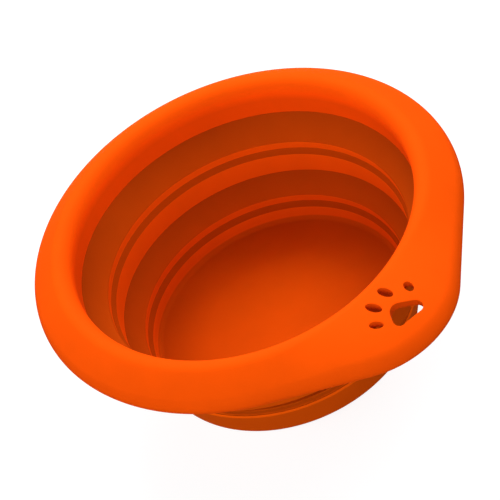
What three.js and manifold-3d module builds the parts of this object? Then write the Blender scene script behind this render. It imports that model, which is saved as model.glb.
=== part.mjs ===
// Collapsible pet bowl: a stiff rim with a hang tab, a stiff middle ring and a stiff base cup,
// joined by two thin conical webs that turn inside out when the bowl is pressed flat.
// Millimetres, +Z up. The origin is the centre of the base's flat underside, and the tab points along +X.

import * as THREE from 'three';
import { mergeVertices } from 'three/addons/utils/BufferGeometryUtils.js';
import Module from 'manifold-3d';

// Driving size: the rim's outer circle. All other radii follow from it by widths.
const RIM_OUTER_RADIUS = 65.0;
const RIM_WIDTH = 13.3;        // from the outer circle in to the upright lip

// Walls and joints
const STIFF_WALL = 2.6;        // radial thickness of the collars of the base cup and the middle ring
const WEB_WIDTH = 1.5;         // thickness of a fold web, measured radially
const JOINT_GAP = 0.3;         // moulding joint between a web and the ring that carries it

// Base cup
const BASE_HEIGHT = 12.9;      // from the underside to the cup's top edge
const BASE_BAND_TAPER = 0.5;   // how much the cup's band draws in towards the floor
const FLOOR_THICKNESS = 4.2;
const FLOOR_FILLET = 1.5;      // inside, between floor and band
const FOOT_ROUND = 1.0;        // outside, between underside and wall

// Ledge inside, under the top edge of the cup and of the middle ring
const COLLAR_HEIGHT = 2.4;     // upright collar above the ledge
const LEDGE_HEIGHT = 1.9;      // sloping ledge below the collar
const LEDGE_WIDTH = 1.0;       // how far the ledge steps in

// Ledge outside, on which the collar stands back from the wall below it
const SHELF_DROP = 2.6;        // from the top edge down to the shelf
const SHELF_WIDTH = 0.8;
const SHELF_RISE = 0.3;        // the shelf slopes up towards the collar
const SHELF_PROUD = 0.1;       // how far the shelf's edge stands out past the top edge
const BASE_DRAFT = 0.27;       // how fast the cup's wall draws in below the shelf, per millimetre of height
const MIDDLE_DRAFT = 0.12;     // the same of the middle ring's wall

// Lower fold, middle ring and upper fold
const LOWER_FOLD_RISE = 6.1;
const LOWER_FOLD_SPREAD = 4.5;
const MIDDLE_HEIGHT = 11.4;
const MIDDLE_BAND_TAPER = 0.1;
const UPPER_FOLD_RISE = 7.2;
const UPPER_FOLD_SPREAD = 5.7;

// Rim section
const RIM_WALL = 2.2;
const LIP_HEIGHT = 8.1;        // upright inner lip, below the rounded crest
const CREST_ROUND = 3.8;
const FLANK_ROUND = 45.0;      // slight dome of the flank between crest and edge
const EDGE_UPPER_ROUND = 5.0;  // outer edge, above its widest point
const EDGE_LOWER_ROUND = 2.6;  // outer edge, below its widest point
const EDGE_RISE = 3.1;         // height of the widest point above the lip's bottom
const EDGE_LAND = 1.0;         // flat underneath the outer edge

// Hang tab, drawn as a round end joined to the rim by straight tangents
const TAB_RADIUS = 29.0;
const TAB_PROUD = 11.5;        // how far the tab's tip stands out past the rim's outer circle

// Paw-shaped cut-outs, set slightly askew in the tab. The middle of the paw lies PAW_PROUD outside the rim's
// outer circle, and each figure lies so far from there along the tab (ahead) and across it (side).
const PAW_PROUD = 2.0;
const TOES = [
  { ahead: -3.7, side: 6.8, length: 3.6, width: 2.5, turnDegrees: -13 },
  { ahead: -7.5, side: 1.3, length: 5.0, width: 2.6, turnDegrees: 12 },
  { ahead: -6.6, side: -4.5, length: 5.1, width: 2.6, turnDegrees: 18 },
  { ahead: -2.4, side: -8.2, length: 4.0, width: 2.1, turnDegrees: 40 },
];
const PAD_DISCS = [
  { ahead: 0.1, side: -0.9, radius: 2.9 },
  { ahead: 1.4, side: -3.0, radius: 1.8 },
  { ahead: 2.0, side: 3.4, radius: 1.8 },
];

// Facets
const RING_STEPS = 72;
const ROUND_STEPS = 6;
const CREST_STEPS = 8;
const FLANK_STEPS = 3;
const INNER_CREST_STEPS = 4;
const TOE_STEPS = 16;
const PAD_STEPS = 28;

// Levels and radii that follow from the sizes above
const middleBottom = BASE_HEIGHT + LOWER_FOLD_RISE;
const middleTop = middleBottom + MIDDLE_HEIGHT;
const lipBottom = middleTop + UPPER_FOLD_RISE;
const rimTop = lipBottom + LIP_HEIGHT + CREST_ROUND;
const lipRadius = RIM_OUTER_RADIUS - RIM_WIDTH;
const middleRadius = lipRadius - UPPER_FOLD_SPREAD;
const middleBottomRadius = middleRadius - LEDGE_WIDTH - MIDDLE_BAND_TAPER;
const baseRadius = middleBottomRadius - LOWER_FOLD_SPREAD;
const tabReach = RIM_OUTER_RADIUS + TAB_PROUD - TAB_RADIUS;
const tabTangent = Math.acos((RIM_OUTER_RADIUS - TAB_RADIUS) / tabReach);
const pawReach = RIM_OUTER_RADIUS + PAW_PROUD;

const wasm = await Module();
wasm.setup();

function orange(color, roughness) {
  return new THREE.MeshStandardMaterial({ color, roughness, metalness: 0 });
}

const rimPlastic = orange(0xfc5a03, 0.55);
const stiffPlastic = orange(0xe25203, 0.6);
const softWeb = orange(0xbc4203, 0.7);

function point(r, z) {
  return new THREE.Vector2(r, z);
}

// Points of an arc in the section plane, both ends included
function arc(centre, radius, startAngle, endAngle, steps) {
  const points = [];
  for (let i = 0; i <= steps; i += 1) {
    const angle = startAngle + ((endAngle - startAngle) * i) / steps;
    points.push(point(centre.x + radius * Math.cos(angle), centre.y + radius * Math.sin(angle)));
  }
  return points;
}

// A piece turned about the bowl's axis from a section listed counter-clockwise, r to the right and z up
function turned(section, closed) {
  const profile = closed ? [...section, section[0].clone()] : section;
  return new THREE.LatheGeometry(profile, RING_STEPS);
}

// A section carried round the bowl's axis, where the section may change with the angle
function swept(sectionAt) {
  const positions = [];
  const triangles = [];
  const count = sectionAt(0).length;
  for (let i = 0; i < RING_STEPS; i += 1) {
    const angle = (2 * Math.PI * i) / RING_STEPS;
    for (const p of sectionAt(angle)) {
      positions.push(p.x * Math.cos(angle), p.x * Math.sin(angle), p.y);
    }
    for (let j = 0; j < count; j += 1) {
      const here = i * count + j;
      const up = i * count + ((j + 1) % count);
      const next = ((i + 1) % RING_STEPS) * count + j;
      const nextUp = ((i + 1) % RING_STEPS) * count + ((j + 1) % count);
      triangles.push(here, nextUp, up, here, next, nextUp);
    }
  }
  const geometry = new THREE.BufferGeometry();
  geometry.setAttribute('position', new THREE.Float32BufferAttribute(positions, 3));
  geometry.setIndex(triangles);
  return geometry;
}

function toSolid(geometry) {
  const bare = geometry.clone();
  bare.deleteAttribute('normal');
  bare.deleteAttribute('uv');
  const merged = mergeVertices(bare);
  return new wasm.Manifold(new wasm.Mesh({
    numProp: 3,
    vertProperties: new Float32Array(merged.attributes.position.array),
    triVerts: new Uint32Array(merged.index.array),
  }));
}

function fromSolid(solid) {
  const mesh = solid.getMesh();
  const geometry = new THREE.BufferGeometry();
  geometry.setAttribute('position', new THREE.BufferAttribute(mesh.vertProperties, 3));
  geometry.setIndex(new THREE.BufferAttribute(mesh.triVerts, 1));
  geometry.computeVertexNormals();
  return geometry;
}

function piece(name, geometry, material) {
  const mesh = new THREE.Mesh(geometry, material);
  mesh.name = name;
  return mesh;
}

// LatheGeometry turns its profile about Y, so a turned piece is stood up about X
function standing(geometry) {
  return geometry.rotateX(Math.PI / 2);
}

// Inner face of a stiff band, from its top edge down: an upright collar, a sloping ledge, a tapered band
function bandFace(topRadius, top, bottom, taper) {
  const ledgeTop = top - COLLAR_HEIGHT;
  const ledgeBottom = ledgeTop - LEDGE_HEIGHT;
  return [
    point(topRadius, top),
    point(topRadius, ledgeTop),
    point(topRadius - LEDGE_WIDTH, ledgeBottom),
    point(topRadius - LEDGE_WIDTH - taper, bottom),
  ];
}

// Outer face of a stiff band, from its bottom up: a drafted wall, a narrow shelf, and the collar above it
function bandBack(topRadius, top, bottom, draft) {
  const shelf = top - SHELF_DROP;
  const shelfRadius = topRadius + STIFF_WALL + SHELF_PROUD;
  return [
    point(shelfRadius - draft * (shelf - bottom), bottom),
    point(shelfRadius, shelf),
    point(shelfRadius - SHELF_WIDTH, shelf + SHELF_RISE),
    point(topRadius + STIFF_WALL, top),
  ];
}

// Base cup: a flat floor with a rounded foot, and a stiff band up to the lower fold
function baseCup() {
  const bandBottom = FLOOR_THICKNESS + FLOOR_FILLET;
  const inner = bandFace(baseRadius, BASE_HEIGHT, bandBottom, BASE_BAND_TAPER);
  const outer = bandBack(baseRadius, BASE_HEIGHT, FOOT_ROUND, BASE_DRAFT);
  const footCentre = point(outer[0].x - FOOT_ROUND, FOOT_ROUND);
  const floorCentre = point(inner[inner.length - 1].x - FLOOR_FILLET, bandBottom);
  const section = [
    point(0, 0),
    ...arc(footCentre, FOOT_ROUND, -Math.PI / 2, 0, ROUND_STEPS),
    ...outer.slice(1),
    ...inner.slice(0, -1),
    ...arc(floorCentre, FLOOR_FILLET, 0, -Math.PI / 2, ROUND_STEPS),
    point(0, FLOOR_THICKNESS),
  ];
  return standing(turned(section, false));
}

// Middle ring: the stiff band between the two folds
function middleRing() {
  const inner = bandFace(middleRadius, middleTop, middleBottom, MIDDLE_BAND_TAPER);
  const outer = bandBack(middleRadius, middleTop, middleBottom, MIDDLE_DRAFT);
  return standing(turned([...outer, ...inner], true));
}

// Fold web: a thin cone between the top of one stiff ring and the underside of the next
function foldWeb(lowRadius, lowLevel, highRadius, highLevel) {
  const low = lowLevel + JOINT_GAP;
  const high = highLevel - JOINT_GAP;
  const section = [
    point(lowRadius, low),
    point(lowRadius + WEB_WIDTH, low),
    point(highRadius + WEB_WIDTH, high),
    point(highRadius, high),
  ];
  return standing(turned(section, true));
}

// Plan outline of rim and tab: distance from the bowl's axis at an angle from the tab
function outlineRadius(angle) {
  const turn = Math.abs(Math.atan2(Math.sin(angle), Math.cos(angle)));
  const endTangent = Math.atan2(
    TAB_RADIUS * Math.sin(tabTangent),
    tabReach + TAB_RADIUS * Math.cos(tabTangent),
  );
  if (turn > tabTangent) {
    return RIM_OUTER_RADIUS;
  }
  if (turn > endTangent) {
    return RIM_OUTER_RADIUS / Math.cos(tabTangent - turn);
  }
  const across = tabReach * Math.sin(turn);
  return tabReach * Math.cos(turn) + Math.sqrt(TAB_RADIUS ** 2 - across ** 2);
}

// Centre of an arc that touches two discs from inside, on the lower side of the line between them
function hugCentre(first, firstRadius, second, secondRadius, hugRadius) {
  const span = second.clone().sub(first);
  const toFirst = hugRadius - firstRadius;
  const toSecond = hugRadius - secondRadius;
  const along = (span.lengthSq() + toFirst ** 2 - toSecond ** 2) / (2 * span.length());
  const below = Math.sqrt(toFirst ** 2 - along ** 2);
  const unit = span.normalize();
  return first.clone().addScaledVector(unit, along).add(point(unit.y * below, -unit.x * below));
}

function bearing(from, to) {
  return Math.atan2(to.y - from.y, to.x - from.x);
}

// Section of the hollow rim: upright lip, rounded crest, domed flank, rounded edge, open underside
function rimSection(angle) {
  const outer = outlineRadius(angle);
  const widest = lipBottom + EDGE_RISE;
  const crest = point(lipRadius + CREST_ROUND, lipBottom + LIP_HEIGHT);
  const edge = point(outer - EDGE_UPPER_ROUND, widest);
  const foot = point(outer - EDGE_LOWER_ROUND, widest);
  const flank = hugCentre(crest, CREST_ROUND, edge, EDGE_UPPER_ROUND, FLANK_ROUND);
  const crestEnd = bearing(flank, crest);
  const edgeStart = bearing(flank, edge);
  const land = foot.x - EDGE_LAND;
  const underRound = FLANK_ROUND - RIM_WALL;
  const landEnd = Math.acos((land - flank.x) / underRound);
  return [
    point(lipRadius + RIM_WALL, lipBottom),
    ...arc(crest, CREST_ROUND - RIM_WALL, Math.PI, crestEnd, INNER_CREST_STEPS).slice(0, -1),
    ...arc(flank, underRound, crestEnd, landEnd, FLANK_STEPS),
    point(land, foot.y - EDGE_LOWER_ROUND),
    ...arc(foot, EDGE_LOWER_ROUND, -Math.PI / 2, 0, ROUND_STEPS).slice(0, -1),
    ...arc(edge, EDGE_UPPER_ROUND, 0, edgeStart, ROUND_STEPS).slice(0, -1),
    ...arc(flank, FLANK_ROUND, edgeStart, crestEnd, FLANK_STEPS),
    ...arc(crest, CREST_ROUND, crestEnd, Math.PI, CREST_STEPS).slice(1),
    point(lipRadius, lipBottom),
  ];
}

// A cutter standing through the whole height of the rim
function cutter(shape) {
  const below = lipBottom - EDGE_LOWER_ROUND;
  const above = rimTop + EDGE_LOWER_ROUND;
  const options = { depth: above - below, bevelEnabled: false, curveSegments: TOE_STEPS };
  return toSolid(new THREE.ExtrudeGeometry(shape, options).translate(0, 0, below));
}

function toeShape(toe) {
  const turn = THREE.MathUtils.degToRad(toe.turnDegrees);
  const reach = pawReach + toe.ahead;
  const shape = new THREE.Shape();
  shape.absellipse(reach, toe.side, toe.length / 2, toe.width / 2, 0, 2 * Math.PI, false, turn);
  return shape;
}

// Rounded triangle: the outline round three discs
function padShape() {
  const outline = [];
  for (let i = 0; i < PAD_STEPS; i += 1) {
    const angle = (2 * Math.PI * i) / PAD_STEPS;
    const out = new THREE.Vector2(Math.cos(angle), Math.sin(angle));
    const extent = (disc) => disc.ahead * out.x + disc.side * out.y + disc.radius;
    const furthest = PAD_DISCS.reduce((best, disc) => (extent(disc) > extent(best) ? disc : best));
    const corner = new THREE.Vector2(pawReach + furthest.ahead, furthest.side);
    outline.push(corner.addScaledVector(out, furthest.radius));
  }
  return new THREE.Shape(outline);
}

function rim() {
  const shapes = [padShape(), ...TOES.map(toeShape)];
  const body = shapes.reduce((solid, shape) => solid.subtract(cutter(shape)), toSolid(swept(rimSection)));
  return fromSolid(body);
}

const lowerWeb = foldWeb(baseRadius, BASE_HEIGHT, middleBottomRadius, middleBottom);
const upperWeb = foldWeb(middleRadius, middleTop, lipRadius, lipBottom);

const bowl = new THREE.Group();
bowl.add(piece('base_cup', baseCup(), stiffPlastic));
bowl.add(piece('lower_fold_web', lowerWeb, softWeb));
bowl.add(piece('middle_ring', middleRing(), stiffPlastic));
bowl.add(piece('upper_fold_web', upperWeb, softWeb));
bowl.add(piece('rim', rim(), rimPlastic));

export default bowl;
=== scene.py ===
# Collapsible pet bowl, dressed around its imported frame. Metres, +Z up, hang tab along +X.

import math

import bmesh
import bpy
from mathutils import Matrix, Vector
from mathutils.geometry import area_tri, delaunay_2d_cdt
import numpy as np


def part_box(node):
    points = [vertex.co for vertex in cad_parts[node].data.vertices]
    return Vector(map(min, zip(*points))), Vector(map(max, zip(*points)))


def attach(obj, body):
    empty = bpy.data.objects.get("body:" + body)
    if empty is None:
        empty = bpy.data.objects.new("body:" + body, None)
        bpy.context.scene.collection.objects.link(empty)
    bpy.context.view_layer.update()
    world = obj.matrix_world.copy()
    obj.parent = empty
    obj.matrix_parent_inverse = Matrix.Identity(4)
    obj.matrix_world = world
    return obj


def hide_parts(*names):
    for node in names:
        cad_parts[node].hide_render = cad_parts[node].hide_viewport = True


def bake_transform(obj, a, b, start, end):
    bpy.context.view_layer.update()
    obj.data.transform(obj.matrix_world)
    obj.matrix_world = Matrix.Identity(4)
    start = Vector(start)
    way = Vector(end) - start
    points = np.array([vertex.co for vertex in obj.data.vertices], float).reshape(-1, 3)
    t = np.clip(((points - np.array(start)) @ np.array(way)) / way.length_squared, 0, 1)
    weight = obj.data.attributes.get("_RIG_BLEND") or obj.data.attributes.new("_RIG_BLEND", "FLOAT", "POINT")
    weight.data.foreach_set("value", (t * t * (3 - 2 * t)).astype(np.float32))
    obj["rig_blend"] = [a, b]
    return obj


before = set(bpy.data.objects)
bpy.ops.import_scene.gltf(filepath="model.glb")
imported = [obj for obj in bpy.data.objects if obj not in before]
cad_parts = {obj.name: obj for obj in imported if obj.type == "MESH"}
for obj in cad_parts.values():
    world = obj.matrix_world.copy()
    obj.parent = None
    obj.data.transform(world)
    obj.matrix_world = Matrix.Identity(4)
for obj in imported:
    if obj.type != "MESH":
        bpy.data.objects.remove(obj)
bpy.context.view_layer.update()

MM = 0.001
TURN = 2 * math.pi

# Sizes that the solids have too
STIFF_WALL = 2.6 * MM
WEB_WIDTH = 1.5 * MM
BASE_BAND_TAPER = 0.5 * MM
FLOOR_THICKNESS = 4.2 * MM
FLOOR_FILLET = 1.5 * MM
FOOT_ROUND = 1.0 * MM
COLLAR_HEIGHT = 2.4 * MM
LEDGE_HEIGHT = 1.9 * MM
LEDGE_WIDTH = 1.0 * MM
SHELF_DROP = 2.6 * MM
SHELF_WIDTH = 0.8 * MM
SHELF_RISE = 0.3 * MM
SHELF_PROUD = 0.1 * MM
BASE_DRAFT = 0.27
MIDDLE_DRAFT = 0.12
MIDDLE_BAND_TAPER = 0.1 * MM
RIM_WALL = 2.2 * MM
LIP_HEIGHT = 8.1 * MM
CREST_ROUND = 3.8 * MM
FLANK_ROUND = 45.0 * MM
EDGE_UPPER_ROUND = 5.0 * MM
EDGE_LOWER_ROUND = 2.6 * MM
EDGE_RISE = 3.1 * MM
EDGE_LAND = 1.0 * MM
TAB_RADIUS = 29.0 * MM
PAW_PROUD = 2.0 * MM           # from the rim's circle out to the middle of the paw

# Paw cut-outs in millimetres, from the middle of the paw along the tab (ahead) and across it (side)
TOES = [
    {"ahead": -3.7, "side": 6.8, "length": 3.6, "width": 2.5, "turn_degrees": -13},
    {"ahead": -7.5, "side": 1.3, "length": 5.0, "width": 2.6, "turn_degrees": 12},
    {"ahead": -6.6, "side": -4.5, "length": 5.1, "width": 2.6, "turn_degrees": 18},
    {"ahead": -2.4, "side": -8.2, "length": 4.0, "width": 2.1, "turn_degrees": 40},
]
PAD_DISCS = [
    {"ahead": 0.1, "side": -0.9, "radius": 2.9},
    {"ahead": 1.4, "side": -3.0, "radius": 1.8},
    {"ahead": 2.0, "side": 3.4, "radius": 1.8},
]

# Finer rounding that only the looks have
EDGE_SOFTNESS = 0.3 * MM       # corners of the moulded bands
SHELF_SOFTNESS = 0.7 * MM      # outer corner of the shelf on the back of a band
HOLE_SOFTNESS = 0.15 * MM      # edges of the paw cut-outs
SUPPORT = 0.12 * MM            # distance of the points that keep straight stretches flat in shading
WEB_ROOT = 0.4 * MM            # how far a web reaches into the rings that carry it
WEB_ROOT_INSET = 0.2 * MM

# Painted light and shade in the moulded colour, as the share of it that is added or taken away
SHADE_LAYER = "shade"          # the points' attribute that holds the painted light and shade
HOLE_SHADE = -0.3              # painted shade on the walls of the paw cut-outs
# painted shade on the lip below the crest
LIP_SHADE = -0.2
LIP_SHADE_FALL = 2.5 * MM      # from the crest to where the lip's painted shade is full
# painted shade on each band's sloping ledge, as dark as the webs
LEDGE_SHADE = -0.45
RIDGE_PAINTED_HIGHLIGHT = 0.25             # painted highlight on the outer edge of a band's shelf
# painted shade on the back of a band's collar, above its shelf
COLLAR_BACK_SHADE = -0.25
# painted shade at the floor's edge
FLOOR_EDGE_SHADE = -0.3
# painted light in the middle of the floor
FLOOR_MIDDLE_PAINTED_LIGHT = 0.15
FLOOR_SHADE_WIDTH = 16.0 * MM  # from the floor's edge to where its painted shade and light end and it has its plain colour
# painted shade on the back of a web
WEB_BACK_SHADE = -0.25
# painted light at a web's foot, going over to painted shade at its top
WEB_LOW_PAINTED_LIGHT = 0.12
WEB_HIGH_SHADE = -0.16

# Facets
RING_STEPS = 240
SWEEP_STEPS = 360
CORNER_STEPS = 4
ARC_STEPS = 16
FLANK_STEPS = 20
WEB_STEPS = 24
TOE_STEPS = 40
PAD_ARC_STEPS = 14
PAD_SIDE_STEPS = 8
PAW_HALF_WINDOW = 12           # sweep steps on each side of the tab that the paw's patch takes
PATCH_MARGIN = 0.35 * MM       # least distance from a cut-out to a point of the patch
PATCH_NEARNESS = 0.001         # millimetres within which points of the patch count as lying on one line
PATCH_SLIVER = 0.0001          # square millimetres in plan below which a triangle is left out

# Levels and radii, read from the frame
base_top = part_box("base_cup")[1].z
base_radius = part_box("base_cup")[1].x - STIFF_WALL - SHELF_PROUD
middle_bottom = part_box("middle_ring")[0].z
middle_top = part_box("middle_ring")[1].z
middle_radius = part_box("middle_ring")[1].x - STIFF_WALL - SHELF_PROUD
middle_bottom_radius = middle_radius - LEDGE_WIDTH - MIDDLE_BAND_TAPER
lip_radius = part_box("upper_fold_web")[1].x - WEB_WIDTH
rim_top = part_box("rim")[1].z
rim_outer_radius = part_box("rim")[1].y
lip_bottom = rim_top - CREST_ROUND - LIP_HEIGHT
tab_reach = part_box("rim")[1].x - TAB_RADIUS
tab_tangent = math.acos((rim_outer_radius - TAB_RADIUS) / tab_reach)
paw_reach = rim_outer_radius + PAW_PROUD


# Section tools: a section is a list of (r, z) points, counter-clockwise, r to the right and z up

def arc(centre, radius, start, end, steps):
    """Points of an arc, both ends included."""
    points = []
    for k in range(steps + 1):
        angle = start + (end - start) * k / steps
        points.append(centre + radius * Vector((math.cos(angle), math.sin(angle))))
    return points


def straight(start, end, steps):
    """Evenly spaced points from start to end, both included."""
    return [start.lerp(end, k / steps) for k in range(steps + 1)]


def bearing(origin, target):
    """Angle of the way from origin to target."""
    return math.atan2(target.y - origin.y, target.x - origin.x)


def rounded(corners):
    """Points for corners (r, z, radius), each turned by an arc; a radius of 0 leaves the corner sharp."""
    points = []
    for k, (r, z, radius) in enumerate(corners):
        corner = Vector((r, z))
        if not radius:
            points.append(corner)
            continue
        back = (Vector(corners[k - 1][:2]) - corner).normalized()
        ahead = (Vector(corners[(k + 1) % len(corners)][:2]) - corner).normalized()
        half = back.angle(ahead) / 2
        setback = radius / math.tan(half)
        centre = corner + (back + ahead).normalized() * radius / math.sin(half)
        start = bearing(centre, corner + back * setback)
        sweep = bearing(centre, corner + ahead * setback) - start
        sweep = math.atan2(math.sin(sweep), math.cos(sweep))
        points.append(corner + back * (setback + SUPPORT))
        points.extend(arc(centre, radius, start, start + sweep, CORNER_STEPS))
        points.append(corner + ahead * (setback + SUPPORT))
    return points


# Mesh tools

def on_ring(r, angle, z):
    """A section's point (r, z), turned by an angle from the tab."""
    return (r * math.cos(angle), r * math.sin(angle), z)


def blank_mesh():
    """An empty mesh whose points can be marked with painted light or shade."""
    mesh = bmesh.new()
    mesh.verts.layers.float.new(SHADE_LAYER)
    return mesh


def shaded(mesh, shade_at):
    """Marks each point with its painted light or shade, by its distance from the bowl's axis and its height.
    """
    mark = mesh.verts.layers.float[SHADE_LAYER]
    for v in mesh.verts:
        v[mark] = shade_at(v.co.xy.length, v.co.z)
    return mesh


def turned(section, closed):
    """A section turned about the bowl's axis. An open section starts and ends on the axis."""
    mesh = blank_mesh()
    rings = []
    for r, z in section:
        if r == 0:
            rings.append([mesh.verts.new((0, 0, z))] * RING_STEPS)
        else:
            rings.append([mesh.verts.new(on_ring(r, TURN * k / RING_STEPS, z)) for k in range(RING_STEPS)])
    following = rings[1:] + rings[:1] if closed else rings[1:]
    for ring, after in zip(rings, following):
        for k in range(RING_STEPS):
            n = (k + 1) % RING_STEPS
            corners = dict.fromkeys((ring[k], ring[n], after[n], after[k]))
            mesh.faces.new(list(corners))
    return mesh


# Stiff bands and fold webs

def band_face(top_radius, top, bottom, taper):
    """Inner corners of a stiff band from its top edge down: collar, sloping ledge, tapered band."""
    ledge_top = top - COLLAR_HEIGHT
    ledge_bottom = ledge_top - LEDGE_HEIGHT
    return [
        (top_radius, top),
        (top_radius, ledge_top),
        (top_radius - LEDGE_WIDTH, ledge_bottom),
        (top_radius - LEDGE_WIDTH - taper, bottom),
    ]


def band_back(top_radius, top, bottom, draft):
    """Outer corners of a stiff band from its bottom up: drafted wall, narrow shelf, collar."""
    shelf = top - SHELF_DROP
    shelf_radius = top_radius + STIFF_WALL + SHELF_PROUD
    return [
        (shelf_radius - draft * (shelf - bottom), bottom),
        (shelf_radius, shelf),
        (shelf_radius - SHELF_WIDTH, shelf + SHELF_RISE),
        (top_radius + STIFF_WALL, top),
    ]


def softened(corners):
    """Corners with the bands' own softness."""
    return [(r, z, EDGE_SOFTNESS) for r, z in corners]


def softened_back(corners, foot_softness):
    """The same for the back of a band, whose foot and shelf are softer."""
    foot, shelf, *rest = corners
    return [(*foot, foot_softness), (*shelf, SHELF_SOFTNESS), *softened(rest)]


def band_shade(top_radius, top):
    """How a band is shaded with painted light and shade: painted shade makes its ledge as dark as the webs
    and the back of its collar darker, and a painted highlight lightens the outer edge of its shelf."""
    ledge_top = top - COLLAR_HEIGHT
    shelf = top - SHELF_DROP
    shelf_radius = top_radius + STIFF_WALL + SHELF_PROUD

    def shade_at(out, z):
        # painted shade on the ledge
        if out < top_radius + EDGE_SOFTNESS and ledge_top - LEDGE_HEIGHT < z < ledge_top:
            return LEDGE_SHADE
        # painted highlight on the outer edge of the shelf
        if out > shelf_radius - SHELF_WIDTH / 2 and abs(z - shelf) < SHELF_SOFTNESS:
            return RIDGE_PAINTED_HIGHLIGHT
        # painted shade on the back of the collar
        if out > top_radius + STIFF_WALL / 2 and z > shelf:
            return COLLAR_BACK_SHADE
        return 0.0

    return shade_at


def base_cup():
    """A band with a floor, whose colour is darkened at its edge by painted shade and lightened in its middle
    by painted light.
    """
    band_bottom = FLOOR_THICKNESS + FLOOR_FILLET
    inner = band_face(base_radius, base_top, band_bottom, BASE_BAND_TAPER)
    outer = band_back(base_radius, base_top, 0.0, BASE_DRAFT)
    floor_radius = inner[-1][0]
    corners = [
        (0.0, 0.0, 0.0),
        *softened_back(outer, FOOT_ROUND),
        *softened(inner[:-1]),
        (floor_radius, FLOOR_THICKNESS, FLOOR_FILLET),
        (floor_radius - FLOOR_SHADE_WIDTH, FLOOR_THICKNESS, 0.0),
        (0.0, FLOOR_THICKNESS, 0.0),
    ]
    on_band = band_shade(base_radius, base_top)

    def shade_at(out, z):
        # painted shade at the floor's edge, painted light in its middle
        on_floor = FLOOR_THICKNESS - SUPPORT < z < band_bottom and out < floor_radius
        if on_floor and out > floor_radius - FLOOR_FILLET - 2 * SUPPORT:
            return FLOOR_EDGE_SHADE
        if on_floor and out < SUPPORT:
            return FLOOR_MIDDLE_PAINTED_LIGHT
        return on_band(out, z)

    return shaded(turned(rounded(corners), closed=False), shade_at)


def middle_ring():
    """A band on its own."""
    inner = band_face(middle_radius, middle_top, middle_bottom, MIDDLE_BAND_TAPER)
    outer = band_back(middle_radius, middle_top, middle_bottom, MIDDLE_DRAFT)
    corners = [*softened_back(outer, EDGE_SOFTNESS), *softened(inner)]
    return shaded(turned(rounded(corners), closed=True), band_shade(middle_radius, middle_top))


def fold_web(low_radius, low, high_radius, high):
    """A thin cone whose two ends reach a little way into the rings that carry it. Painted shade darkens its
    back, and its face goes from painted light at its foot to painted shade at its top."""
    inner_low = Vector((low_radius, low))
    inner_high = Vector((high_radius, high))
    width = Vector((WEB_WIDTH, 0))
    root = Vector((0, WEB_ROOT))
    inset = Vector((WEB_ROOT_INSET, 0))
    section = [
        inner_low + width - root,
        *straight(inner_low + width, inner_high + width, WEB_STEPS),
        inner_high + width + root,
        inner_high + inset + root,
        *straight(inner_high, inner_low, WEB_STEPS),
        inner_low + inset - root,
    ]

    def shade_at(out, z):
        rise = (z - low) / (high - low)
        middle = low_radius + (high_radius - low_radius) * rise + WEB_WIDTH / 2
        # painted shade on the web's back; on its face, painted light at the foot to painted shade at the top
        if out > middle:
            return WEB_BACK_SHADE
        return WEB_LOW_PAINTED_LIGHT + (WEB_HIGH_SHADE - WEB_LOW_PAINTED_LIGHT) * rise

    return shaded(turned(section, closed=True), shade_at)


# Rim with its hang tab

def outline_radius(angle):
    """Distance of the rim's outline from the bowl's axis, at an angle from the tab."""
    turn = abs(math.atan2(math.sin(angle), math.cos(angle)))
    end_tangent = math.atan2(
        TAB_RADIUS * math.sin(tab_tangent),
        tab_reach + TAB_RADIUS * math.cos(tab_tangent),
    )
    if turn > tab_tangent:
        return rim_outer_radius
    if turn > end_tangent:
        return rim_outer_radius / math.cos(tab_tangent - turn)
    across = tab_reach * math.sin(turn)
    return tab_reach * math.cos(turn) + math.sqrt(TAB_RADIUS ** 2 - across ** 2)


def rim_centres(angle):
    """Centres of the crest's, the upper outer edge's and the flank's arcs."""
    crest = Vector((lip_radius + CREST_ROUND, lip_bottom + LIP_HEIGHT))
    edge = Vector((outline_radius(angle) - EDGE_UPPER_ROUND, lip_bottom + EDGE_RISE))
    span = edge - crest
    to_crest = FLANK_ROUND - CREST_ROUND
    to_edge = FLANK_ROUND - EDGE_UPPER_ROUND
    along = (span.length_squared + to_crest ** 2 - to_edge ** 2) / (2 * span.length)
    below = math.sqrt(to_crest ** 2 - along ** 2)
    unit = span.normalized()
    flank = crest + unit * along + Vector((unit.y, -unit.x)) * below
    return crest, edge, flank


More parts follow.
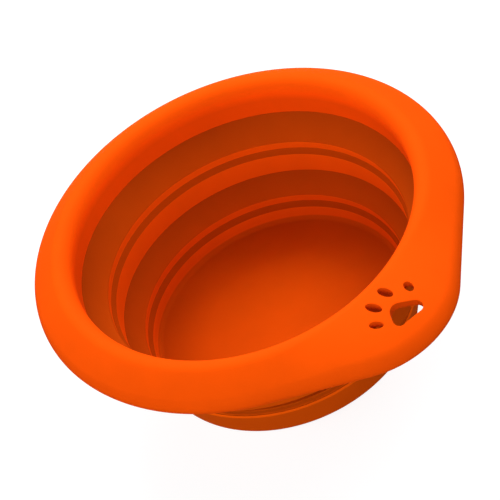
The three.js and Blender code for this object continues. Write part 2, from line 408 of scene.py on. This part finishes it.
def rim_stretches(angle):
    """The rim's section as named stretches, in order."""
    crest, edge, flank = rim_centres(angle)
    crest_end = bearing(flank, crest)
    edge_start = bearing(flank, edge)
    foot = Vector((outline_radius(angle) - EDGE_LOWER_ROUND, edge.y))
    under_round = FLANK_ROUND - RIM_WALL
    land = foot.x - EDGE_LAND
    land_end = math.acos((land - flank.x) / under_round)
    edge_bottom = foot.y - EDGE_LOWER_ROUND
    lip_foot = rounded([
        (lip_radius, crest.y, 0.0),
        # ring at which the lip's painted shade is full
        (lip_radius, crest.y - LIP_SHADE_FALL, 0.0),
        (lip_radius, lip_bottom, EDGE_SOFTNESS),
        (lip_radius + RIM_WALL, lip_bottom, EDGE_SOFTNESS),
        (lip_radius + RIM_WALL, crest.y, 0.0),
    ])
    land_foot = rounded([
        (land, flank.y + under_round * math.sin(land_end), 0.0),
        (land, edge_bottom, EDGE_SOFTNESS),
        (foot.x, edge_bottom, 0.0),
    ])
    return {
        "lip_foot": lip_foot[1:-1],
        "under_crest": arc(crest, CREST_ROUND - RIM_WALL, math.pi, crest_end, ARC_STEPS)[:-1],
        "under_flank": arc(flank, under_round, crest_end, land_end, FLANK_STEPS),
        "land_foot": land_foot[1:-1],
        "edge_below": arc(foot, EDGE_LOWER_ROUND, -math.pi / 2, 0.0, ARC_STEPS)[:-1],
        "edge_above": arc(edge, EDGE_UPPER_ROUND, 0.0, edge_start, ARC_STEPS)[:-1],
        "flank": arc(flank, FLANK_ROUND, edge_start, crest_end, FLANK_STEPS),
        "crest": arc(crest, CREST_ROUND, crest_end, math.pi, ARC_STEPS)[1:],
    }


def stretch_start(name):
    """Index of a stretch's first point in the rim's section."""
    count = 0
    for key, points in rim_stretches(0.0).items():
        if key == name:
            return count
        count += len(points)
    raise KeyError(name)


def flank_height(x, y, radius):
    """Height of the flank's top or underside over a point of the plan; radius says which."""
    flank = rim_centres(math.atan2(y, x))[2]
    out = math.hypot(x, y) - flank.x
    return flank.y + math.sqrt(radius ** 2 - out ** 2)


# Paw cut-outs: outlines in plan, counter-clockwise, and grown by a margin

def on_tab(figure):
    """Place of a figure's centre in plan."""
    return Vector((paw_reach + figure["ahead"] * MM, figure["side"] * MM))


def toe_outline(toe, grow):
    """An ellipse, turned on its place."""
    centre = on_tab(toe)
    spin = Matrix.Rotation(math.radians(toe["turn_degrees"]), 2)
    length = toe["length"] * MM
    width = toe["width"] * MM
    outline = []
    for k in range(TOE_STEPS):
        angle = TURN * k / TOE_STEPS
        on_toe = Vector((length / 2 * math.cos(angle), width / 2 * math.sin(angle)))
        out = Vector((width * math.cos(angle), length * math.sin(angle))).normalized()
        outline.append(centre + spin @ (on_toe + out * grow))
    return outline


def pad_outline(grow):
    """A rounded triangle: the outline round three discs."""
    centres = [on_tab(disc) for disc in PAD_DISCS]
    radii = [disc["radius"] * MM + grow for disc in PAD_DISCS]
    count = len(PAD_DISCS)
    normals = []
    for k in range(count):
        n = (k + 1) % count
        lean = math.acos((radii[k] - radii[n]) / (centres[n] - centres[k]).length)
        normals.append(bearing(centres[k], centres[n]) - lean)
    outline = []
    for k in range(count):
        n = (k + 1) % count
        sweep = (normals[k] - normals[k - 1]) % TURN
        outline.extend(arc(centres[k], radii[k], normals[k] - sweep, normals[k], PAD_ARC_STEPS))
        side_end = centres[n] + radii[n] * Vector((math.cos(normals[k]), math.sin(normals[k])))
        outline.extend(straight(outline[-1], side_end, PAD_SIDE_STEPS)[1:-1])
    return outline


def paw_outlines(grow):
    """The pad's outline, then the toes'."""
    return [pad_outline(grow), *[toe_outline(toe, grow) for toe in TOES]]


def inside(outline, point):
    """True where a point of the plan lies inside a closed outline."""
    within = False
    for a, b in zip(outline, outline[1:] + outline[:1]):
        if (a.y > point.y) != (b.y > point.y):
            if point.x < a.x + (b.x - a.x) * (point.y - a.y) / (b.y - a.y):
                within = not within
    return within


def hole_edge(mesh, radius, side):
    """Rings of vertices that round each cut-out's edge, from the flank (first) to the cut-out's wall
    (last). side is 1 for the top and -1 for the underside."""
    holes = [[] for _ in paw_outlines(0.0)]
    for k in range(CORNER_STEPS + 1):
        angle = math.pi / 2 * k / CORNER_STEPS
        grow = HOLE_SOFTNESS * (1 - math.sin(angle))
        drop = HOLE_SOFTNESS * (1 - math.cos(angle))
        for hole, outline in zip(holes, paw_outlines(grow)):
            hole.append([
                mesh.verts.new((p.x, p.y, flank_height(p.x, p.y, radius) - side * drop)) for p in outline
            ])
    return holes


def bridge(mesh, ring, after):
    """Quads between two rings of vertices, whose normals point to the left of the ring's way round."""
    count = len(ring)
    for k in range(count):
        n = (k + 1) % count
        mesh.faces.new((ring[k], ring[n], after[n], after[k]))


def fill_patch(mesh, border, inner, rings, upward):
    """Triangles between a border of vertices and the cut-outs' rings, by way of the inner vertices."""
    keep_off = paw_outlines(HOLE_SOFTNESS + PATCH_MARGIN)
    free = [v for v in inner if not any(inside(outline, v.co.xy) for outline in keep_off)]
    vertices = [*border, *free]
    edges = [(k, (k + 1) % len(border)) for k in range(len(border))]
    for ring in rings:
        first = len(vertices)
        vertices.extend(ring)
        edges.extend((first + k, first + (k + 1) % len(ring)) for k in range(len(ring)))
    plan = [v.co.xy / MM for v in vertices]
    points, _, triangles, sources, _, _ = delaunay_2d_cdt(plan, edges, [], 0, PATCH_NEARNESS)
    around = [v.co.xy for v in border]
    cut_outs = [[v.co.xy for v in ring] for ring in rings]
    for triangle in triangles:
        if area_tri(*[points[k] for k in triangle]) < PATCH_SLIVER:
            continue
        corners = [vertices[sources[k][0]] for k in triangle]
        middle = sum((v.co.xy for v in corners), Vector((0, 0))) / len(corners)
        if not inside(around, middle) or any(inside(outline, middle) for outline in cut_outs):
            continue
        mesh.faces.new(corners if upward else corners[::-1])


def lip_shade(out, z):
    """Painted shade darkens the lip below the crest."""
    lip_face = lip_radius + EDGE_SOFTNESS
    shade_top = lip_bottom + LIP_HEIGHT - LIP_SHADE_FALL / 2
    return LIP_SHADE if out < lip_face and z < shade_top else 0.0


def patch_vertices(grid, levels):
    """Vertices round the paw's patch, in order, and those inside it."""
    columns = range(-PAW_HALF_WINDOW, PAW_HALF_WINDOW + 1)
    start = levels.start
    end = levels.stop
    border = [grid[i][start] for i in columns]
    border += [grid[PAW_HALF_WINDOW][j] for j in range(start + 1, end)]
    border += [grid[i][end] for i in reversed(columns)]
    border += [grid[-PAW_HALF_WINDOW][j] for j in range(end - 1, start, -1)]
    inner = [grid[i][j] for i in columns[1:-1] for j in range(start + 1, end)]
    return border, inner


def rim():
    """The section swept round the outline. The flank's top and underside have a patch with the cut-outs."""
    mesh = blank_mesh()
    grid = []
    for i in range(SWEEP_STEPS):
        angle = TURN * i / SWEEP_STEPS
        section = [p for points in rim_stretches(angle).values() for p in points]
        grid.append([mesh.verts.new(on_ring(r, angle, z)) for r, z in section])
    patches = {}
    for name in ("flank", "under_flank"):
        first = stretch_start(name)
        patches[name] = range(first, first + FLANK_STEPS)
    window = range(-PAW_HALF_WINDOW, PAW_HALF_WINDOW)
    count = len(grid[0])
    for i in range(-SWEEP_STEPS // 2, SWEEP_STEPS // 2):
        for j in range(count):
            if i in window and any(j in levels for levels in patches.values()):
                continue
            n = (j + 1) % count
            mesh.faces.new((grid[i][j], grid[i + 1][j], grid[i + 1][n], grid[i][n]))
    edges = {}
    for name, levels in patches.items():
        top = name == "flank"
        edges[name] = hole_edge(mesh, FLANK_ROUND if top else FLANK_ROUND - RIM_WALL, 1 if top else -1)
        border, inner = patch_vertices(grid, levels)
        fill_patch(mesh, border, inner, [hole[0] for hole in edges[name]], top)
    for above, below in zip(edges["flank"], edges["under_flank"]):
        rings = [*above, *reversed(below)]
        for ring, after in zip(rings, rings[1:]):
            bridge(mesh, ring, after)
    loose = [v for v in mesh.verts if not v.link_faces]
    bmesh.ops.delete(mesh, geom=loose, context="VERTS")
    # Painted shade on the lip below the crest
    shaded(mesh, lip_shade)
    # Painted shade on the walls of the paw cut-outs
    mark = mesh.verts.layers.float[SHADE_LAYER]
    for holes in edges.values():
        for rings in holes:
            for v in rings[-1]:
                v[mark] = HOLE_SHADE
    return mesh


# Materials

# The bands' and webs' oranges are darker than the rim's by painted shade: shaded copies of one orange
# material
RIM_ORANGE = (0.98, 0.09, 0.001)
BAND_ORANGE_PAINTED_SHADE = (0.78, 0.09, 0.001)
WEB_ORANGE_PAINTED_SHADE = (0.46, 0.054, 0.001)
CLOUD_SCALE = 90.0             # per metre, as all scales of noise here
CLOUD_DETAIL = 4.0
CLOUD_DARK_BELOW = 0.3         # noise below which a cloud is at its darkest
CLOUD_NONE_ABOVE = 0.7         # noise above which the colour is plain
CLOUD_DEPTH = 0.05             # share of the colour that a cloud takes away
GRAIN_SCALE = 2600.0
GRAIN_DETAIL = 2.0
GRAIN_STRENGTH = 0.3
ROUGHNESS_SPREAD = 0.06        # by which the grain makes the skin smoother and rougher
SPECULAR_LEVEL = 0.02


def moulded(name, colour, roughness, grain):
    """Matte moulded plastic or elastomer: slight clouding of the colour, points darker or lighter by their
    painted light and shade, and a fine-grained skin. grain is the grain's depth."""
    material = bpy.data.materials.new(name)
    material.use_nodes = True
    nodes = material.node_tree.nodes
    links = material.node_tree.links
    shader = nodes["Principled BSDF"]
    shader.inputs["Specular IOR Level"].default_value = SPECULAR_LEVEL
    place = nodes.new("ShaderNodeTexCoord")

    def noise(scale, detail):
        texture = nodes.new("ShaderNodeTexNoise")
        texture.inputs["Scale"].default_value = scale
        texture.inputs["Detail"].default_value = detail
        links.new(place.outputs["Object"], texture.inputs["Vector"])
        return texture.outputs["Fac"]

    clouds = noise(CLOUD_SCALE, CLOUD_DETAIL)
    tone = nodes.new("ShaderNodeValToRGB")
    darkest, plain = tone.color_ramp.elements
    darkest.position = CLOUD_DARK_BELOW
    darkest.color = (*[c * (1 - CLOUD_DEPTH) for c in colour], 1)
    plain.position = CLOUD_NONE_ABOVE
    plain.color = (*colour, 1)
    links.new(clouds, tone.inputs["Fac"])
    # Painted light and shade: the colour is scaled by 1 plus each point's mark
    mark = nodes.new("ShaderNodeAttribute")
    mark.attribute_name = SHADE_LAYER
    share = nodes.new("ShaderNodeMath")
    share.operation = "ADD"
    share.inputs[1].default_value = 1.0
    links.new(mark.outputs["Fac"], share.inputs[0])
    marked = nodes.new("ShaderNodeVectorMath")
    marked.operation = "SCALE"
    links.new(tone.outputs["Color"], marked.inputs["Vector"])
    links.new(share.outputs["Value"], marked.inputs["Scale"])
    links.new(marked.outputs["Vector"], shader.inputs["Base Color"])

    skin = noise(GRAIN_SCALE, GRAIN_DETAIL)
    gloss = nodes.new("ShaderNodeMapRange")
    gloss.inputs["To Min"].default_value = roughness - ROUGHNESS_SPREAD
    gloss.inputs["To Max"].default_value = roughness + ROUGHNESS_SPREAD
    links.new(skin, gloss.inputs["Value"])
    links.new(gloss.outputs["Result"], shader.inputs["Roughness"])

    bump = nodes.new("ShaderNodeBump")
    bump.inputs["Strength"].default_value = GRAIN_STRENGTH
    bump.inputs["Distance"].default_value = grain
    links.new(skin, bump.inputs["Height"])
    links.new(bump.outputs["Normal"], shader.inputs["Normal"])
    return material


# Pieces

def add_piece(name, mesh, material, node):
    """A new piece in place of a CAD node, in the node's own place."""
    data = bpy.data.meshes.new(name)
    mesh.to_mesh(data)
    mesh.free()
    data.shade_smooth()
    data.materials.append(material)
    piece = bpy.data.objects.new(name, data)
    bpy.context.scene.collection.objects.link(piece)
    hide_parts(node)
    return piece


def level(z):
    """The point of the bowl's axis at a height."""
    return (0, 0, z)


rim_plastic = moulded("rim_plastic", RIM_ORANGE, roughness=0.78, grain=0.03 * MM)
# Stiff plastic and fold web take the darker oranges, which are painted shade
stiff_plastic = moulded("stiff_plastic", BAND_ORANGE_PAINTED_SHADE, roughness=0.8, grain=0.03 * MM)
web_rubber = moulded("fold_web", WEB_ORANGE_PAINTED_SHADE, roughness=0.84, grain=0.02 * MM)

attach(add_piece("base_cup_shell", base_cup(), stiff_plastic, "base_cup"), "base")
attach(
    add_piece("middle_ring_band", middle_ring(), stiff_plastic, "middle_ring"), "middle"
)
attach(add_piece("rim_with_tab", rim(), rim_plastic, "rim"), "rim")

lower_web = add_piece(
    "lower_web_cone",
    fold_web(base_radius, base_top, middle_bottom_radius, middle_bottom),
    web_rubber, "lower_fold_web",
)
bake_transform(lower_web, "base", "middle", start=level(base_top), end=level(middle_bottom))
upper_web = add_piece(
    "upper_web_cone",
    fold_web(middle_radius, middle_top, lip_radius, lip_bottom),
    web_rubber, "upper_fold_web",
)
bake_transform(upper_web, "middle", "rim", start=level(middle_top), end=level(lip_bottom))


# Camera at the photograph's angle: level axes first, then its roll

CAMERA_AZIMUTH = math.radians(63.0)
CAMERA_ELEVATION = math.radians(44.22)
CAMERA_ROLL = math.radians(24.73)
CAMERA_DISTANCE = 1.0          # metres
CAMERA_LENS = 248.5            # millimetres
AIM_RIGHT = -0.90 * MM         # from the rim's centre to the middle of the picture, along the level axes
AIM_DOWN = 4.18 * MM

level_right = Vector((math.cos(CAMERA_AZIMUTH), math.sin(CAMERA_AZIMUTH), 0))
level_toward = Vector((math.sin(CAMERA_AZIMUTH), -math.cos(CAMERA_AZIMUTH), 0))
upright = Vector((0, 0, 1))
to_camera = level_toward * math.cos(CAMERA_ELEVATION) + upright * math.sin(CAMERA_ELEVATION)
level_down = level_toward * math.sin(CAMERA_ELEVATION) - upright * math.cos(CAMERA_ELEVATION)
picture_right = level_right * math.cos(CAMERA_ROLL) + level_down * math.sin(CAMERA_ROLL)
picture_up = level_right * math.sin(CAMERA_ROLL) - level_down * math.cos(CAMERA_ROLL)
rim_centre = Vector(level(lip_bottom + EDGE_RISE))


def add_camera():
    data = bpy.data.cameras.new("camera")
    data.lens = CAMERA_LENS
    camera = bpy.data.objects.new("camera", data)
    bpy.context.scene.collection.objects.link(camera)
    axes = Matrix((picture_right, picture_up, to_camera)).transposed().to_4x4()
    place = rim_centre + to_camera * CAMERA_DISTANCE + level_right * AIM_RIGHT + level_down * AIM_DOWN
    camera.matrix_world = Matrix.Translation(place) @ axes
    bpy.context.scene.camera = camera


# Studio floor, world and lamps

WHITE = 1.0                    # strength that is white to the eye
STAGE_SIZE = 6.0               # metres
STAGE_DROP = 0.05 * MM         # below the bowl's underside
STAGE_GLOW = 0.85 * WHITE      # near the bowl, before the lamps' light is added
STAGE_NEAR = 0.12              # metres from the bowl's axis to where the glow starts to rise to white
STAGE_FAR = 0.5                # metres to where the lamps don't reach and the glow is white
STAGE_SHADOW = 0.25            # how strongly the object's shadow shows
STAGE_BOUNCE = 0.2             # share of the light that the floor throws back on the object
ROOM_LIGHT = 0.1
LAMP_SIZE = 0.7                # metres
LAMP_DISTANCE = 1.2            # metres from the middle of the rim
LAMPS = [
    {"name": "back", "off_axis": 95, "turn": 112, "watts": 13.0},
    {"name": "top", "off_axis": 75, "turn": 68, "watts": 8.1},
    {"name": "left", "off_axis": 75, "turn": 180, "watts": 5.4},
    {"name": "front", "off_axis": 21, "turn": 270, "watts": 8.4},
]


def seen_by_eye(nodes, links):
    """1 for camera, glossy and transmission rays, 0 for the rays that light the object."""
    path = nodes.new("ShaderNodeLightPath")
    total = path.outputs["Is Camera Ray"]
    for ray in ("Is Glossy Ray", "Is Transmission Ray"):
        larger = nodes.new("ShaderNodeMath")
        larger.operation = "MAXIMUM"
        links.new(total, larger.inputs[0])
        links.new(path.outputs[ray], larger.inputs[1])
        total = larger.outputs["Value"]
    return total


def add_floor():
    """A pale floor: white to the eye, with the object's shadow left on it."""
    material = bpy.data.materials.new("floor")
    material.use_nodes = True
    nodes = material.node_tree.nodes
    links = material.node_tree.links
    nodes.clear()
    output = nodes.new("ShaderNodeOutputMaterial")
    plain = nodes.new("ShaderNodeBsdfDiffuse")
    plain.inputs["Color"].default_value = (STAGE_BOUNCE, STAGE_BOUNCE, STAGE_BOUNCE, 1)
    shadow = nodes.new("ShaderNodeBsdfDiffuse")
    shadow.inputs["Color"].default_value = (STAGE_SHADOW, STAGE_SHADOW, STAGE_SHADOW, 1)
    place = nodes.new("ShaderNodeTexCoord")
    distance = nodes.new("ShaderNodeVectorMath")
    distance.operation = "LENGTH"
    links.new(place.outputs["Object"], distance.inputs[0])
    whiter = nodes.new("ShaderNodeMapRange")
    whiter.inputs["From Min"].default_value = STAGE_NEAR
    whiter.inputs["From Max"].default_value = STAGE_FAR
    whiter.inputs["To Min"].default_value = STAGE_GLOW
    whiter.inputs["To Max"].default_value = WHITE
    links.new(distance.outputs["Value"], whiter.inputs["Value"])
    glow = nodes.new("ShaderNodeEmission")
    links.new(whiter.outputs["Result"], glow.inputs["Strength"])
    pale = nodes.new("ShaderNodeAddShader")
    links.new(shadow.outputs["BSDF"], pale.inputs[0])
    links.new(glow.outputs["Emission"], pale.inputs[1])
    choice = nodes.new("ShaderNodeMixShader")
    links.new(seen_by_eye(nodes, links), choice.inputs["Fac"])
    links.new(plain.outputs["BSDF"], choice.inputs[1])
    links.new(pale.outputs["Shader"], choice.inputs[2])
    links.new(choice.outputs["Shader"], output.inputs["Surface"])

    half = STAGE_SIZE / 2
    data = bpy.data.meshes.new("floor")
    corners = [(-half, -half, 0), (half, -half, 0), (half, half, 0), (-half, half, 0)]
    data.from_pydata(corners, [], [(0, 1, 2, 3)])
    data.materials.append(material)
    floor = bpy.data.objects.new("floor", data)
    floor.location.z = -STAGE_DROP
    bpy.context.scene.collection.objects.link(floor)


def add_world():
    """Even room light on the object, and white where the world shows behind it."""
    world = bpy.data.worlds.new("room")
    bpy.context.scene.world = world
    world.use_nodes = True
    nodes = world.node_tree.nodes
    links = world.node_tree.links
    background = nodes["Background"]
    background.inputs["Color"].default_value = (1, 1, 1, 1)
    strength = nodes.new("ShaderNodeMapRange")
    strength.inputs["To Min"].default_value = ROOM_LIGHT
    strength.inputs["To Max"].default_value = WHITE
    links.new(seen_by_eye(nodes, links), strength.inputs["Value"])
    links.new(strength.outputs["Result"], background.inputs["Strength"])


def add_softbox(name, off_axis, turn, watts):
    """A square area lamp that faces the bowl, so many degrees off the camera's axis. Its turn in the
    picture is in degrees too, and counts from the right: 90 is above the bowl."""
    data = bpy.data.lights.new(name, "AREA")
    data.shape = "SQUARE"
    data.size = LAMP_SIZE
    data.energy = watts
    lamp = bpy.data.objects.new(name, data)
    bpy.context.scene.collection.objects.link(lamp)
    tilt = math.radians(off_axis)
    spin = math.radians(turn)
    sideways = picture_right * math.cos(spin) + picture_up * math.sin(spin)
    unit = to_camera * math.cos(tilt) + sideways * math.sin(tilt)
    lamp.location = rim_centre + unit * LAMP_DISTANCE
    lamp.rotation_mode = "QUATERNION"
    lamp.rotation_quaternion = unit.to_track_quat("Z", "Y")


add_camera()
add_floor()
add_world()
for lamp_values in LAMPS:
    add_softbox(**lamp_values)
bpy.context.scene.view_settings.view_transform = "Standard"
